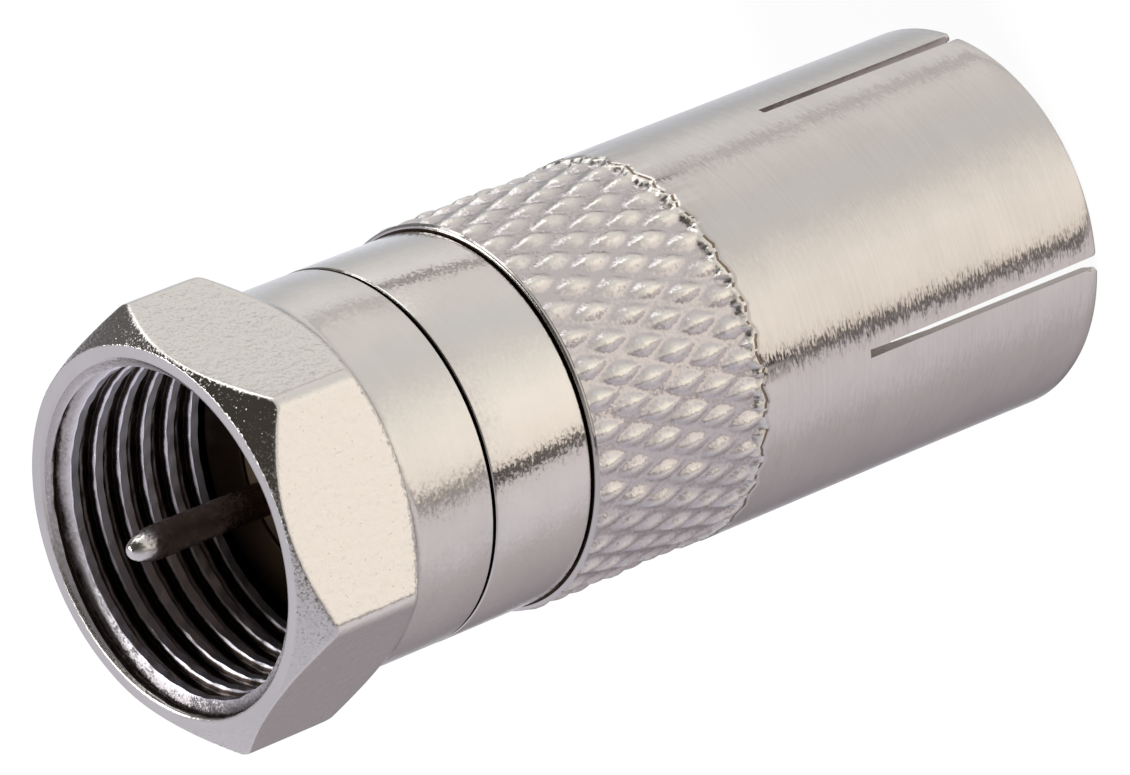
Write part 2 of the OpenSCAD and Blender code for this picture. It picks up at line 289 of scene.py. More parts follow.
# %% Satin nickel, milled
def grained_nickel(name, colour, roughness, grain=0.1, grain_size=0.1, waves=1.0):
    """Nickel with an even grain of the given size in millimetres, waves and pits."""
    material, add = new_material(name)
    place = add("TexCoord").outputs["Object"]
    wave = add("TexNoise", {"Vector": place, "Scale": 3600, "Detail": 2, "Distortion": 0.6})
    speck = add("TexVoronoi", {"Vector": place, "Scale": 4200}, feature="F1")
    pits = add("MapRange", {"Value": speck.outputs["Distance"], "From Min": 0.05, "From Max": 0.12,
                            "To Min": 0.7, "To Max": 1.0})
    shade = blend(add, pits.outputs[0], (0.22, 0.18, 0.16), colour)
    wave_bump = add("Bump", {"Height": wave.outputs["Fac"], "Strength": 0.6,
                             "Distance": 0.00003 * waves})
    shader = add("BsdfPrincipled", {
        "Base Color": shade, "Metallic": 1.0, "Roughness": roughness,
        "Normal": crinkled(add, wave_bump.outputs[0], grain_size, grain)})
    add("OutputMaterial", {"Surface": shader.outputs[0]})
    return material


# %% Nickel with painted light on the tops and painted shade in the grooves
def painted_shade_nickel(name, start, end, stops, roughness, torn=0.04, metal=(1.0, 1.0), grain=0.1,
                tear=0.3):
    """Plating whose colour follows the distance from the axis, from start to end in
    millimetres, through the stops (place from 0 to 1, colour); dark stops paint shade
    into grooves and hollows, and light stops paint light on the tops. The distance is shaken
    by up to torn, as a noise of size tear, so the edges between light and dark look
    torn. The share of metal goes from metal[0] to metal[1] just outside the first stop."""
    material, add = new_material(name)
    place = add("TexCoord").outputs["Object"]
    level = add("VectorMath", {0: place, 1: (1, 1, 0)}, operation="MULTIPLY")
    out = add("VectorMath", {0: level.outputs[0]}, operation="LENGTH")
    noise = add("TexNoise", {"Vector": place, "Scale": 1 / (tear * MM), "Detail": 4,
                             "Roughness": 0.6})
    shift = add("MapRange", {"Value": noise.outputs["Fac"],
                             "To Min": -torn * MM, "To Max": torn * MM})
    reach = add("Math", {0: out.outputs["Value"], 1: shift.outputs[0]}, operation="ADD")
    depth = add("MapRange", {"Value": reach.outputs[0],
                             "From Min": start * MM, "From Max": end * MM})
    shade = add("ValToRGB", {0: depth.outputs[0]})
    set_stops(shade, stops)
    inmost = stops[0][0]
    share = add("MapRange", {"Value": depth.outputs[0], "From Min": inmost,
                             "From Max": inmost + 0.2, "To Min": metal[0], "To Max": metal[1]})
    bump = add("Bump", {"Height": noise.outputs["Fac"], "Strength": 0.5, "Distance": 0.00002})
    shader = add("BsdfPrincipled", {
        "Base Color": shade.outputs[0], "Metallic": share.outputs[0], "Roughness": roughness,
        "Normal": crinkled(add, bump.outputs[0], 0.09, grain)})
    add("OutputMaterial", {"Surface": shader.outputs[0]})
    return material


# %% Plastic
def moulded_plastic(name, colour):
    """Matt plastic with the fine grain of its mould."""
    material, add = new_material(name)
    place = add("TexCoord").outputs["Object"]
    grain = add("TexNoise", {"Vector": place, "Scale": 3000, "Detail": 3})
    bump = add("Bump", {"Height": grain.outputs["Fac"], "Strength": 0.3, "Distance": 0.00002})
    tone = add("MapRange", {"Value": grain.outputs["Fac"], "To Min": 0.9, "To Max": 1.0})
    shade = blend(add, tone.outputs[0], [0.6 * c for c in colour], colour)
    shader = add("BsdfPrincipled", {"Base Color": shade, "Roughness": 0.5,
                                    "Normal": bump.outputs[0]})
    add("OutputMaterial", {"Surface": shader.outputs[0]})
    return material


# %% Bright finishes
nickel, bright_nickel = (0.82, 0.785, 0.75), (0.88, 0.85, 0.81)
sleeve_finish = turned_nickel("satin_nickel_sleeve", nickel, 0.17)
ring_finish = turned_nickel("satin_nickel_ring", bright_nickel, 0.15, needles=0.03,
                            crinkle=0.17, streaks=0.02, turning=0.6)
nut_finish = turned_nickel("satin_nickel_collar", bright_nickel, 0.24, needles=0.03,
                           crinkle=0.21, streaks=0.02, turning=0.5)
flats_finish = grained_nickel("satin_nickel_flats", bright_nickel, 0.22, grain=0.24,
                              grain_size=0.07, waves=0.7)
chamfer_finish = grained_nickel("satin_nickel_chamfer", nickel, 0.14, grain=1.25, grain_size=0.07)
cheek_finish = grained_nickel("sawn_nickel", (0.55, 0.50, 0.47), 0.35, grain=0.2)
contact_finish = grained_nickel("plated_contact", (0.68, 0.62, 0.55), 0.25, grain=0.2)

# %% Finishes with painted shade, the torn edge and the plastics
# umber is painted shade for the bottoms of the thread's grooves, and lavender is a painted
# reflection on its crests.
lavender_painted_reflection, umber_painted_shade = (0.80, 0.77, 0.84), (0.05, 0.035, 0.028)
# The grip: the floor between the mounds is painted darker as painted shade, and the tops lighter
# and creamier as a painted highlight.
grip_painted_shade = painted_shade_nickel("satin_nickel_grip_with_painted_shade", 5.12, 5.28, [
    (0.0, (0.68, 0.64, 0.64)), (0.50, (0.80, 0.76, 0.75)), (0.80, (0.94, 0.91, 0.84)),
    (1.0, (0.95, 0.92, 0.86))], 0.28, 0.03, grain=0.7, tear=0.2)
# The thread: umber painted shade fills its grooves, with a thin painted highlight in them, and its
# lavender crests are a painted reflection.
thread_painted_shade = painted_shade_nickel("plated_thread_with_painted_shade", 4.40, 4.76, [
    (0.10, lavender_painted_reflection), (0.20, umber_painted_shade), (0.40, umber_painted_shade), (0.47, (0.30, 0.27, 0.28)), (0.54, umber_painted_shade),
    (0.88, umber_painted_shade), (0.97, (0.22, 0.19, 0.18))], 0.28, 0.03, metal=(0.84, 1.0))
# The mouth and first turn: lighter, with painted shade only towards the bottom of the groove.
mouth_painted_shade = painted_shade_nickel("mouth_thread_with_painted_shade", 4.40, 4.76, [
    (0.0, (0.60, 0.58, 0.62)), (0.45, (0.42, 0.39, 0.40)), (0.78, (0.34, 0.31, 0.32)),
    (0.93, umber_painted_shade)], 0.25, 0.06, metal=(0.7, 0.7), grain=0.6, tear=0.15)
# The pin: its shaft is painted brown as painted shade, lighter towards the nose.
pin_painted_shade = painted_shade_nickel("plated_pin_with_painted_shade", 0.0, 0.45, [
    (0.0, (0.92, 0.90, 0.87)), (0.88, (0.88, 0.85, 0.81)), (0.96, (0.42, 0.34, 0.28)),
    (1.0, (0.28, 0.21, 0.16))], 0.2, 0.04, grain=0.35, tear=0.25)
# Near black painted shade for gaps between parts and hidden hollows.
groove_painted_shade = grained_nickel("painted_shade_grooves", (0.06, 0.04, 0.028), 0.4)
torn_finish = grained_nickel("torn_edge", (0.30, 0.23, 0.17), 0.4, grain=0.5)
# The ferrule is painted near black as painted shade deep in the nut.
ferrule_painted_shade = turned_nickel("ferrule_nickel_with_painted_shade", (0.045, 0.028, 0.018), 0.3)
# The front insulator is painted near black as painted shade deep in the nut.
insulator_painted_shade = moulded_plastic("insulator_painted_shade", (0.035, 0.024, 0.015))
plastic_finish = moulded_plastic("matt_plastic", (0.80, 0.77, 0.70))
print("finishes:", [m.name for m in bpy.data.materials])

# %% [markdown]
# ## The coupling nut
#
# The nut is turned from hexagon bar. A cone at the front and another behind cut
# the corners back, so each flat ends in arcs. Boolean cuts would give these arcs
# with sharp edges. In radius against angle and height the shape is simply the
# least of three surfaces: the hexagon, the front cone and the back cone. A soft
# minimum also rounds the edges between them by a set amount.

# %% The nut's outside
flat_r, nut_face_r, collar_r = 5.16, 5.09, 5.05
nut_turn = math.radians(20.8)
front_chamfer, back_chamfer, ridge_round = 0.8, 0.7, 0.45
uneven_chamfer, longest_chamfer = 0.2, math.radians(200)
front_edge, back_edge = 0.018, 0.05
sector = math.tau / 6
corner_r = flat_r * 2 / math.sqrt(3)


def soft_least(a, b, edge):
    """The lesser of a and b with their crossing rounded off:
    (a + b) / 2 - sqrt((a - b)^2 / 4 + edge^2)."""
    return (a + b) / 2 - np.sqrt((a - b) ** 2 / 4 + edge ** 2)


# %% The hexagon and its chamfers
def side_angles(per_side):
    """Angles round the hexagon from ridge to ridge, closer together at ridges:
    t - 0.6 sin(2 pi t) / (2 pi) on each side for t from 0 to 1."""
    t = np.arange(per_side) / per_side
    eased = t - 0.6 * np.sin(math.tau * t) / math.tau
    return ((np.arange(6)[:, None] + eased) * sector).ravel() + nut_turn


def hexagon(angle):
    """A flat is F / cos of the angle from its middle. Near a ridge the radius is that
    of a small circle of radius E round a centre at D = (F - E) / cos 30 degrees:
    D cos d + sqrt(E^2 - D^2 sin^2 d), where d is the angle from the ridge."""
    from_flat = (angle - nut_turn) % sector - sector / 2
    from_ridge = sector / 2 - np.abs(from_flat)
    centre = (flat_r - ridge_round) / math.cos(sector / 2)
    circle = centre * np.cos(from_ridge) + np.sqrt(
        np.maximum(0, ridge_round ** 2 - (centre * np.sin(from_ridge)) ** 2))
    tangent = math.atan((flat_r - ridge_round) * math.tan(sector / 2) / flat_r)
    return np.where(np.abs(from_flat) > tangent, circle, flat_r / np.cos(from_flat))


def nut_outside(angle, z):
    """The least of the hexagon, the front cone and the back cone. The front cut is
    not quite square to the axis, so its length varies with the angle."""
    length = front_chamfer + uneven_chamfer * np.cos(angle - longest_chamfer)
    front = nut_face_r + (nut_top - z) * (corner_r - nut_face_r) / length
    back = collar_r + (z - hex_z) * (corner_r - collar_r) / back_chamfer
    return soft_least(soft_least(hexagon(angle), front, front_edge), back, back_edge)


# %% Rows of the collar and the hexagon
angle = side_angles(80)[None]
lip_bore_r = 3.9
collar_rows = rounded([[lip_bore_r, nut_z], [collar_r, nut_z], [collar_r, hex_z],
                       [lip_bore_r, hex_z]], 0.04)[4:8]
collar_rows = np.vstack([[4.2, nut_z], collar_rows, [collar_r, 22.6], [collar_r, 23.8]])
hex_rows = np.concatenate([np.linspace(hex_z + 0.02, 24.85, 18), np.linspace(25.0, 26.8, 7),
                           np.linspace(26.9, 27.7, 14), np.linspace(27.73, nut_top - 0.01, 12)])
outer = nut_outside(angle, hex_rows[:, None])
print("hexagon rows:", outer.shape,
      "radius from", outer.min().round(3), "to", outer.max().round(3))

# %% [markdown]
# ### The thread
#
# The thread is a right-handed helix: at an angle a its crest has climbed by the
# pitch times a over a full turn. A Screw modifier could carry a profile up it, but
# its ends would not meet the mouth. Here the rows of the bore climb with the helix,
# so that the crests' edges lie along rows and stay clean, and both ends are cut off
# level. Where the last column meets the first, row k meets the row one pitch up.
# Two slow waves wear the crests unevenly.

# %% The nut's thread and mouth
thread_r, pitch, thread_depth = 4.4, 0.794, 0.36
thread_start, thread_end, first_crest = 22.96, 27.93, 0.632
mouth_r, relief_r, lip_top = 4.75, 4.78, 22.15
crest_half, flank = 0.155, 0.22
per_pitch = np.array([-0.5, -0.42, -0.34, -0.255, -0.17, -0.15, -0.05, 0.05, 0.15, 0.17,
                      0.255, 0.34, 0.42])


def thread_radius(phase):
    """The crest's radius plus the depth times the flank, a straight rise that starts
    crest_half of a pitch away from the crest's middle and takes flank of a pitch."""
    away = np.abs(phase - np.round(phase))
    return thread_r + thread_depth * np.clip((away - crest_half) / flank, 0, 1)


turns = np.arange(1, -8, -1)[:, None]
phase = (turns + per_pitch[::-1]).ravel()[:, None]
crest_z = nut_top - first_crest + pitch * angle / math.tau
thread_h = np.clip(crest_z + pitch * phase, thread_start, thread_end)
thread = thread_radius((thread_h - crest_z) / pitch)
thread -= 0.012 * np.sin(17 * angle + 4 * thread_h) + 0.010 * np.sin(41 * angle - 9 * thread_h)
countersink = mouth_r - (nut_top - thread_h)
on_countersink = thread <= countersink
thread = np.maximum(thread, countersink)
print("thread rows:", thread.shape)

# %% Join the nut's rows
edge = 0.03
face_rows = np.array([[nut_face_r - 0.02, nut_top], [5.0, nut_top], [4.86, nut_top],
                      [mouth_r + edge, nut_top], [mouth_r, nut_top - edge]])
relief_rows = np.array([[relief_r, 22.75], [relief_r, lip_top + 0.02],
                        [relief_r - 0.02, lip_top], [lip_bore_r + edge, lip_top],
                        [lip_bore_r, lip_top - edge], [lip_bore_r, nut_z + edge],
                        [lip_bore_r + edge, nut_z]])
parts = [level_rows(collar_rows, angle.size),
         (outer, np.broadcast_to(hex_rows[:, None], outer.shape)),
         level_rows(face_rows, angle.size), (thread, thread_h),
         level_rows(relief_rows, angle.size)]
nut_r, nut_h = [np.vstack(values) for values in zip(*parts)]
rows = len(nut_r)
kind = np.repeat(np.arange(5), [len(radius) for radius, height in parts])
HEXAGON, THREAD = 1, 3
print("nut rows:", rows, "of", angle.size, "points")

# %% Finishes of the nut's faces
nut_finishes = [nut_finish, flats_finish, thread_painted_shade, chamfer_finish, groove_painted_shade,
                mouth_painted_shade]
ON_TURNED, ON_FLATS, ON_THREAD, ON_CHAMFER, ON_PAINTED_SHADE, ON_MOUTH = range(6)
# The relief bore, and below it the lower face, are painted near black as painted shade.
by_kind = np.array([ON_TURNED, ON_FLATS, ON_TURNED, ON_THREAD, ON_PAINTED_SHADE])
finish = np.broadcast_to(by_kind[kind][:, None], (rows, angle.size)).copy()
finish[(kind[:, None] == HEXAGON) & (nut_r < hexagon(angle) - 0.02)] = ON_CHAMFER
finish[0] = ON_PAINTED_SHADE
# The mouth and first turn get the lighter finish; the other turns get the thread's painted shade.
first_groove = (thread_h > nut_top - 0.75) & (thread > thread_r + 0.1)
finish[kind == THREAD] = np.where(on_countersink | first_groove, ON_MOUTH, ON_THREAD)
print("faces by finish:", np.bincount(finish.ravel()).tolist())

# %% Close the thread's seam and make the nut
corners = grid_faces(rows, angle.size)
in_thread = np.flatnonzero(kind == THREAD)
seam = corners[:, -1, 1:3] // angle.size
stepped = np.clip(seam - len(per_pitch), in_thread[0], in_thread[-1])
seam = np.where((seam >= in_thread[0]) & (seam <= in_thread[-1]), stepped, seam)
corners[:, -1, 1:3] = seam * angle.size
points = round_axis(nut_r, nut_h, angle)
a, b, c, d = np.moveaxis(points.reshape(-1, 3)[corners], 2, 0)
has_area = np.linalg.norm(np.cross(c - a, d - b), axis=-1) > 1e-7
nut = make_piece("coupling_nut_turned", points, corners[has_area].tolist(),
                 grid_uvs(rows, angle.size)[has_area], finish[has_area], sharp=50)
for material in nut_finishes:
    nut.data.materials.append(material)
close_up(nut)
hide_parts("coupling_nut")
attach(nut, "nut")

# %% [markdown]
# ## The socket sleeve
#
# One turned piece: a plain rim, the knurled grip, and a thin tube with two saw
# cuts across it that leave four springy tines. Knurling presses two families of
# grooves into the metal, one leaning each way, and tears the metal where it stops.
# A bump or displacement map could show the diamonds, but only real relief also
# breaks up the outline of the grip. With p and q counting the grooves of each
# family, every diamond has whole p and q at its centre, and its height falls off
# towards the halves.

# %% The knurled grip
knurl_top, knurl_bottom, rim_r = 17.9, 12.23, 5.2
knurl_count, knurl_pitch, knurl_turn = 38, 0.96, math.radians(6.7)
first_centre, crest_r = 17.51, 5.28
floor_drop, mound_height, seam_height = 0.16, 0.15, 0.02
mound_reach, seam_start = 0.9, 0.88
chance = np.random.default_rng(5)


def knurl_drop(angle, z):
    """Depth below the crest in millimetres. With a and b the distances from the
    diamond's centre across the two groove families, 0 to 1, each family leaves
    cos(pi a / 2 mound_reach) of the mound, which is none from mound_reach on, and
    the product of both times the mound's height stands on the flat floor. A low seam
    runs along the floor's middle. Every mound is a little higher or lower and leans
    a little its own way."""
    round_count = (angle - knurl_turn) * knurl_count / math.tau
    along_count = (first_centre - z) / knurl_pitch
    p, q = round_count + along_count / 2, round_count - along_count / 2
    i, j = np.round(p), np.round(q)
    a, b = 2 * (p - i), 2 * (q - j)
    own = chance.uniform(-1, 1, (4, knurl_count, 16))
    own = own[:, (i % knurl_count).astype(int), ((i - j) % 16).astype(int)]
    left_a, left_b = [np.clip(np.cos(math.pi * away / (2 * mound_reach)), 0, 1) for away in (a, b)]
    lean = 0.05 * (own[1] * a + own[2] * b)
    mound = left_a * left_b * (mound_height * (1 + 0.2 * own[0]) + lean)
    edge = np.clip((np.maximum(np.abs(a), np.abs(b)) - seam_start) / (1 - seam_start), 0, 1)
    return np.maximum(0, floor_drop - mound - seam_height * edge ** 2 * (3 - 2 * edge))


# %% Rows of the grip, torn at its lower edge
columns = 16 * knurl_count
base_angle = knurl_turn + np.arange(columns) / columns * math.tau
ragged = np.tile(chance.uniform(0, 1, columns), 3)
ragged = np.convolve(ragged, [0.3, 0.4, 0.3], "same")[columns:2 * columns]
start = knurl_bottom + 0.02
run_out = start + 0.34 * ragged ** 2
grip_rows = np.concatenate([np.linspace(start, knurl_bottom + 0.5, 12)[:-1],
                            np.linspace(knurl_bottom + 0.5, knurl_top - 0.02, 84)])
fade = np.clip((grip_rows[:, None] - run_out) / 0.16, 0, 1)
grip = crest_r - fade * knurl_drop(base_angle[None], grip_rows[:, None])
print("grip rows:", grip.shape, "depth to", round(crest_r - grip.min(), 3))

# %% [markdown]
# ### Rows of the sleeve
#
# The rows start at the middle of the tines' end face. Outwards and up they follow
# the outside, and downwards from there they follow the bore, with as many rows on
# both sides of the wall. A Boolean could cut the slots, but it would leave long thin
# triangles that spoil the gloss. Instead a saw cut takes out the same rows on each
# side, and its two cheeks are ladders between row k outside and row k inside.

# %% Rows of the sleeve
end_mid, face_r = 5.1, 5.11
saw_w, saw_disc_r = 0.24, 20.0
saw_lens, saw_angles = (7.2, 8.4), (math.radians(178.4), math.radians(273))
outside = [[5.16, 0], [5.2, 0.01], [5.27, 0.05], [sleeve_r, 0.12]]
inside = [[5.05, 0.0], [4.99, 0.03], [4.88, 0.15], [socket_r, 0.24]]
levels = np.array([0.5, 1.0, 2.0, 3.0, 4.0, 5.0, 6.0, 7.2, 7.8, 8.4])
saw_rise = (math.sqrt(saw_disc_r ** 2 - socket_r ** 2)
            - math.sqrt(saw_disc_r ** 2 - sleeve_r ** 2))
outside = np.array(outside + [[sleeve_r, z] for z in levels])
inside = np.array(inside + [[socket_r, z + (saw_rise if z > 6 else 0)] for z in levels])
cut_rows = [int(np.argmin(np.abs(outside[:, 1] - length))) + 1 for length in saw_lens]
above_cut = np.array([[sleeve_r, 9.5], [sleeve_r, 11.0], [sleeve_r, knurl_bottom - 0.12],
                      [sleeve_r, knurl_bottom - 0.06],
                      [sleeve_r - 0.02, knurl_bottom - 0.02]])
rim = np.array([[rim_r + 0.02, knurl_top + 0.01], [rim_r, knurl_top + 0.04],
                [rim_r, sleeve_top - 0.03], [rim_r - 0.03, sleeve_top], [face_r, sleeve_top],
                [seat_r, sleeve_top]])
bore = np.array([[seat_r, seat_z], [sleeve_lip_r, seat_z], [sleeve_lip_r, socket_top],
                 [socket_r - 0.03, socket_top], [socket_r, socket_top - 0.03], [socket_r, 9.0]])
below = [level_rows(profile, columns)
         for profile in (np.array([[end_mid, 0.0]]), outside, above_cut)]
above = [level_rows(profile, columns) for profile in (rim, bore, inside[::-1])]
parts = below + [(grip, np.broadcast_to(grip_rows[:, None], grip.shape))] + above
sleeve_radius, sleeve_height = [np.vstack(values) for values in zip(*parts)]
kind = np.repeat(np.arange(7), [len(radius) for radius, height in parts])
GRIP, RIM = 3, 4
rows = len(sleeve_radius)
print("sleeve rows:", rows, "and cut rows:", cut_rows)

# %% The torn edge under the grip
tips = 2 * np.abs((base_angle - knurl_turn) * knurl_count / math.tau % 1 - 0.5)
torn_edge = 0.10 * (ragged - 0.5) - 0.16 * tips
near_edge = np.clip(1 - (sleeve_height - knurl_bottom) / 0.5, 0, 1)
near_edge = near_edge * (sleeve_height > knurl_bottom - 0.13)
sleeve_height += near_edge * torn_edge
print("the edge is torn by up to", round(float(np.ptp(torn_edge)), 3), "mm")

# %% [markdown]
# ### Tines
#
# Cutting and use have bent the tines a little: each stands off the true circle by
# its own amount at the end, falling to nothing at the roots. The corners beside
# the cuts are rounded, each by its own radius, and the bore's edges along the cuts
# are filed a little thinner. Lattices could bend the tines, but the grid's radii,
# heights and angles are still arrays at this point, so one formula moves them all.


# %% Faces of a saw cut
def cut_columns(centre):
    """The two columns nearest the saw's cheeks on the outside."""
    half = math.asin(saw_w / 2 / sleeve_r)
    step = math.tau / columns
    first = round((centre - half - knurl_turn) / step)
    last = round((centre + half - knurl_turn) / step)
    return first % columns, last % columns


def ladder(column, out_rows, in_rows, width, flip):
    """Faces of one cheek: rung k joins out_rows[k] to in_rows[k], and the first
    rung closes on row 0, the middle of the end face."""
    out, inn = np.array(out_rows) * width + column, np.array(in_rows) * width + column
    rungs = np.stack([out[:-1], out[1:], inn[1:], inn[:-1]], -1)
    tip = [column, int(out[0]), int(inn[0])]
    if flip:
        return rungs[:, ::-1].tolist() + [tip[::-1]]
    return rungs.tolist() + [tip]


def open_cut(keep, depth, first, last):
    """Mark the grid's faces between two columns as gone in its first and last depth
    rows, and return the faces of the cut: two cheeks, then the quads of its root."""
    rows, columns = keep.shape
    taken = (first + np.arange((last - first) % columns)) % columns
    keep[np.ix_(np.r_[0:depth, rows - depth:rows], taken)] = False
    out_rows = np.arange(1, depth + 1)
    cheeks = (ladder(first, out_rows, rows - out_rows, columns, False)
              + ladder(last, out_rows, rows - out_rows, columns, True))
    following = (taken + 1) % columns
    out, inn = depth * columns, (rows - depth) * columns
    root = np.stack([out + taken, out + following, inn + following, inn + taken], -1)
    return cheeks + root.tolist()


def small_uvs(faces):
    """A small square of texture for each face that is outside the grid."""
    corner = np.array([[0, 0], [0, 0.001], [0.001, 0.001], [0.001, 0]])
    return np.concatenate([corner[:len(face)] for face in faces])


# %% Bend the tines
bends = np.array([0.03, 0.0, 0.02, 0.16])
bend_top = 7.0
corner_rounds = [(0.04, 0.20), (0.12, 0.12), (0.12, 0.12), (0.20, 0.04)]
slots = [(across + half, cut_row) for across, cut_row in zip(saw_angles, cut_rows)
         for half in (0, math.pi)]
cuts = [(centre, *cut_columns(centre), cut_row, corner_round)
        for (centre, cut_row), corner_round in zip(slots, corner_rounds)]
cut_degrees = np.degrees(sorted(cut[0] % math.tau for cut in cuts))
tine = np.searchsorted(cut_degrees, np.degrees(base_angle) % 360) % len(bends)
sleeve_radius += bends[tine] * np.clip(1 - sleeve_height / bend_top, 0, 1) ** 2
print("cuts at", cut_degrees.round(1).tolist(), "degrees, bent by", bends.tolist(), "mm")

# %% Shape the edges of the cuts
flare, filed, filed_reach = 0.04, 0.16, 0.5
sleeve_angle = np.broadcast_to(base_angle, sleeve_radius.shape).copy()
fade = np.clip((11.0 - sleeve_height) / 2.0, 0, 1)
for centre, first, last, cut_row, corner_round in cuts:
    away = (base_angle - centre + math.pi) % math.tau - math.pi
    low, high = away[first], away[last]
    open_end = flare * np.clip(1 - sleeve_height / bend_top, 0, 1)
    half = np.arcsin((saw_w / 2 + open_end) / sleeve_radius)
    shift_low, shift_high = -half - low, half - high
    t_in = np.clip((away - low) / (high - low), 0, 1)
    t_out = np.clip(1 - np.maximum(low - away, away - high) / 0.12, 0, 1)
    sleeve_angle += fade * (shift_low * (1 - t_in) + shift_high * t_in) * t_out
    gap = np.maximum(0, np.maximum(low - away, away - high)) * sleeve_r
    thinner = filed * np.clip(1 - gap / filed_reach, 0, 1)
    sleeve_radius[-len(inside):] += thinner * np.clip((8 - inside[::-1, 1:]) / 2, 0, 1)
    radius = np.where(away < 0, *corner_round)
    raise_end = radius - np.sqrt(np.maximum(0, radius ** 2 - np.maximum(0, radius - gap) ** 2))
    sleeve_height += raise_end * np.clip(1 - sleeve_height / 1.2, 0, 1)
print("the sleeve's radius goes up to", sleeve_radius.max().round(3), "mm")

# %% Make the sleeve
sleeve_finishes = [sleeve_finish, grip_painted_shade, cheek_finish, groove_painted_shade, torn_finish]
ON_SLEEVE, ON_GRIP, ON_CHEEK, ON_PAINTED_SHADE, ON_TEAR = range(5)
faces, uvs = grid_faces(rows, columns), grid_uvs(rows, columns)
keep = np.ones(faces.shape[:2], bool)
extra = []
for centre, first, last, cut_row, corner_round in cuts:
    extra += open_cut(keep, cut_row, first, last)
# The sleeve's faces under the ring are painted near black as painted shade in the gap.
under_ring = (kind == RIM) & (sleeve_radius[:, 0] < face_r + 0.01)
by_row = np.where(kind == GRIP, ON_GRIP, np.where(under_ring, ON_PAINTED_SHADE, ON_SLEEVE))
finish = np.repeat(by_row[:, None], columns, 1)
edge_row = np.flatnonzero(kind == GRIP)[0]
finish[edge_row - 1:edge_row + 1, ragged > 0.45] = ON_TEAR
sleeve = make_piece("socket_sleeve_turned",
                    round_axis(sleeve_radius, sleeve_height, sleeve_angle),
                    faces[keep].tolist() + extra,
                    np.concatenate([uvs[keep].reshape(-1, 2), small_uvs(extra)]),
                    np.concatenate([finish[keep], np.full(len(extra), ON_CHEEK)]), sharp=50)
for material in sleeve_finishes:
    sleeve.data.materials.append(material)
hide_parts("rear_sleeve")
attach(sleeve, "adapter_body")

# %% [markdown]
# ## The ring, the ferrule and the insulators
#
# The ring is pressed into the sleeve, the ferrule into the ring, and the two
# insulators hold the contact. They are plain turned pieces, so each is one rounded
# outline. The ring has a small step down to a groove where it meets the sleeve,
# whose faces are painted near black as painted shade, so the press fit shows as a
# thin dark line. The ferrule and the front insulator are painted near black too,
# as painted shade deep in the nut.

# %% Ring, ferrule and insulators
turned_pieces = {
    "collar_ring": (
        [[neck_r, spigot_z], [seat_r, spigot_z], [seat_r, sleeve_top],
         [4.85, sleeve_top + 0.01], [5.01, sleeve_top + 0.03], [ring_r, sleeve_top + 0.08],
         [ring_r, ring_top], [neck_r, ring_top]],
        [0.02, 0.05, 0.02, 0.02, 0.02, 0.03, 0.06, 0.05], ring_finish, "nickel_ring"),
    # The ferrule's finish is painted near black as painted shade.
    "retaining_ferrule": (
        [[ferrule_bore_r, neck_z], [neck_r, neck_z], [neck_r, flange_z],
         [flange_r, flange_z], [flange_r, flange_top], [ferrule_bore_r, flange_top]],
        0.05, ferrule_painted_shade, "nickel_ferrule"),
    "rear_insulator": (
        [[contact_r, socket_top], [sleeve_lip_r, socket_top], [sleeve_lip_r, seat_z],
         [seat_r, seat_z], [seat_r, spigot_z], [contact_r, spigot_z]],
        0.02, plastic_finish, "insulator"),
    # The front insulator is painted near black as painted shade.
    "front_insulator": (
        [[shoulder_r, spigot_z], [neck_r, spigot_z], [neck_r, neck_z],
         [ferrule_bore_r, neck_z], [ferrule_bore_r, insulator_z], [root_r, insulator_z],
         [root_r, shoulder_z], [shoulder_r, shoulder_z]],
        0.03, insulator_painted_shade, "insulator"),
}
for node, (outline, radius, material, slot) in turned_pieces.items():
    piece = turned(node + "_turned", rounded(outline, radius))
    piece.data.materials.append(material)
    # The ring's step and faces inside the sleeve are painted near black as painted shade.
    if node == "collar_ring":
        piece.data.materials.append(groove_painted_shade)
        for face in piece.data.polygons:
            face.material_index = int(math.hypot(*face.center[:2]) < (ring_r - 0.03) * MM)
    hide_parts(node)
    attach(piece, "adapter_body")

# %% [markdown]
# ## The centre contact
#
# One turned piece from the socket at the bottom to the pin at the top. The pin
# ends in a bullet nose, which is a quarter of an ellipse turned round the axis. A
# cylinder with a scaled sphere on it would have a seam there. The socket's wall is
# slit from its end by the same function as the sleeve.

# %% Outline of the contact
slit_w, slit_top, contact_end = 0.35, 7.0, 1.0
tip_r, nose_len = 0.05, 1.05
nose = np.linspace(0, math.pi / 2, 12)[:-1]
bullet = np.stack([tip_r + (pin_r - tip_r) * np.cos(nose),
                   pin_tip - nose_len + nose_len * np.sin(nose)], -1)
slit_levels = np.array([1.12, 2.0, 4.0, 5.5, slit_top])
slit_depth = len(slit_levels) + 1
body = rounded([[contact_r, 9.0], [contact_r, spigot_z], [shoulder_r, spigot_z],
                [shoulder_r, shoulder_z], [root_r, shoulder_z], [root_r, insulator_z],
                [pin_r, insulator_z], [pin_r, 27.6]], 0.04)[4:-4]
contact_rows = np.vstack([
    [[1.42, contact_end]], [[1.53, contact_end]],
    np.stack([np.full(len(slit_levels), contact_r), slit_levels], -1),
    body, [[pin_r, 25.0], [pin_r, 27.0]], bullet, [[tip_r, pin_tip]]])
socket_rows = np.vstack([
    [[contact_bore, 10.8]], [[contact_bore, 9.0]],
    np.stack([np.full(len(slit_levels), contact_bore), slit_levels[::-1]], -1),
    [[1.24, contact_end]]])
contact_outline = np.vstack([contact_rows, socket_rows])
print("contact rows:", len(contact_rows), "outside and", len(socket_rows), "in its bore")

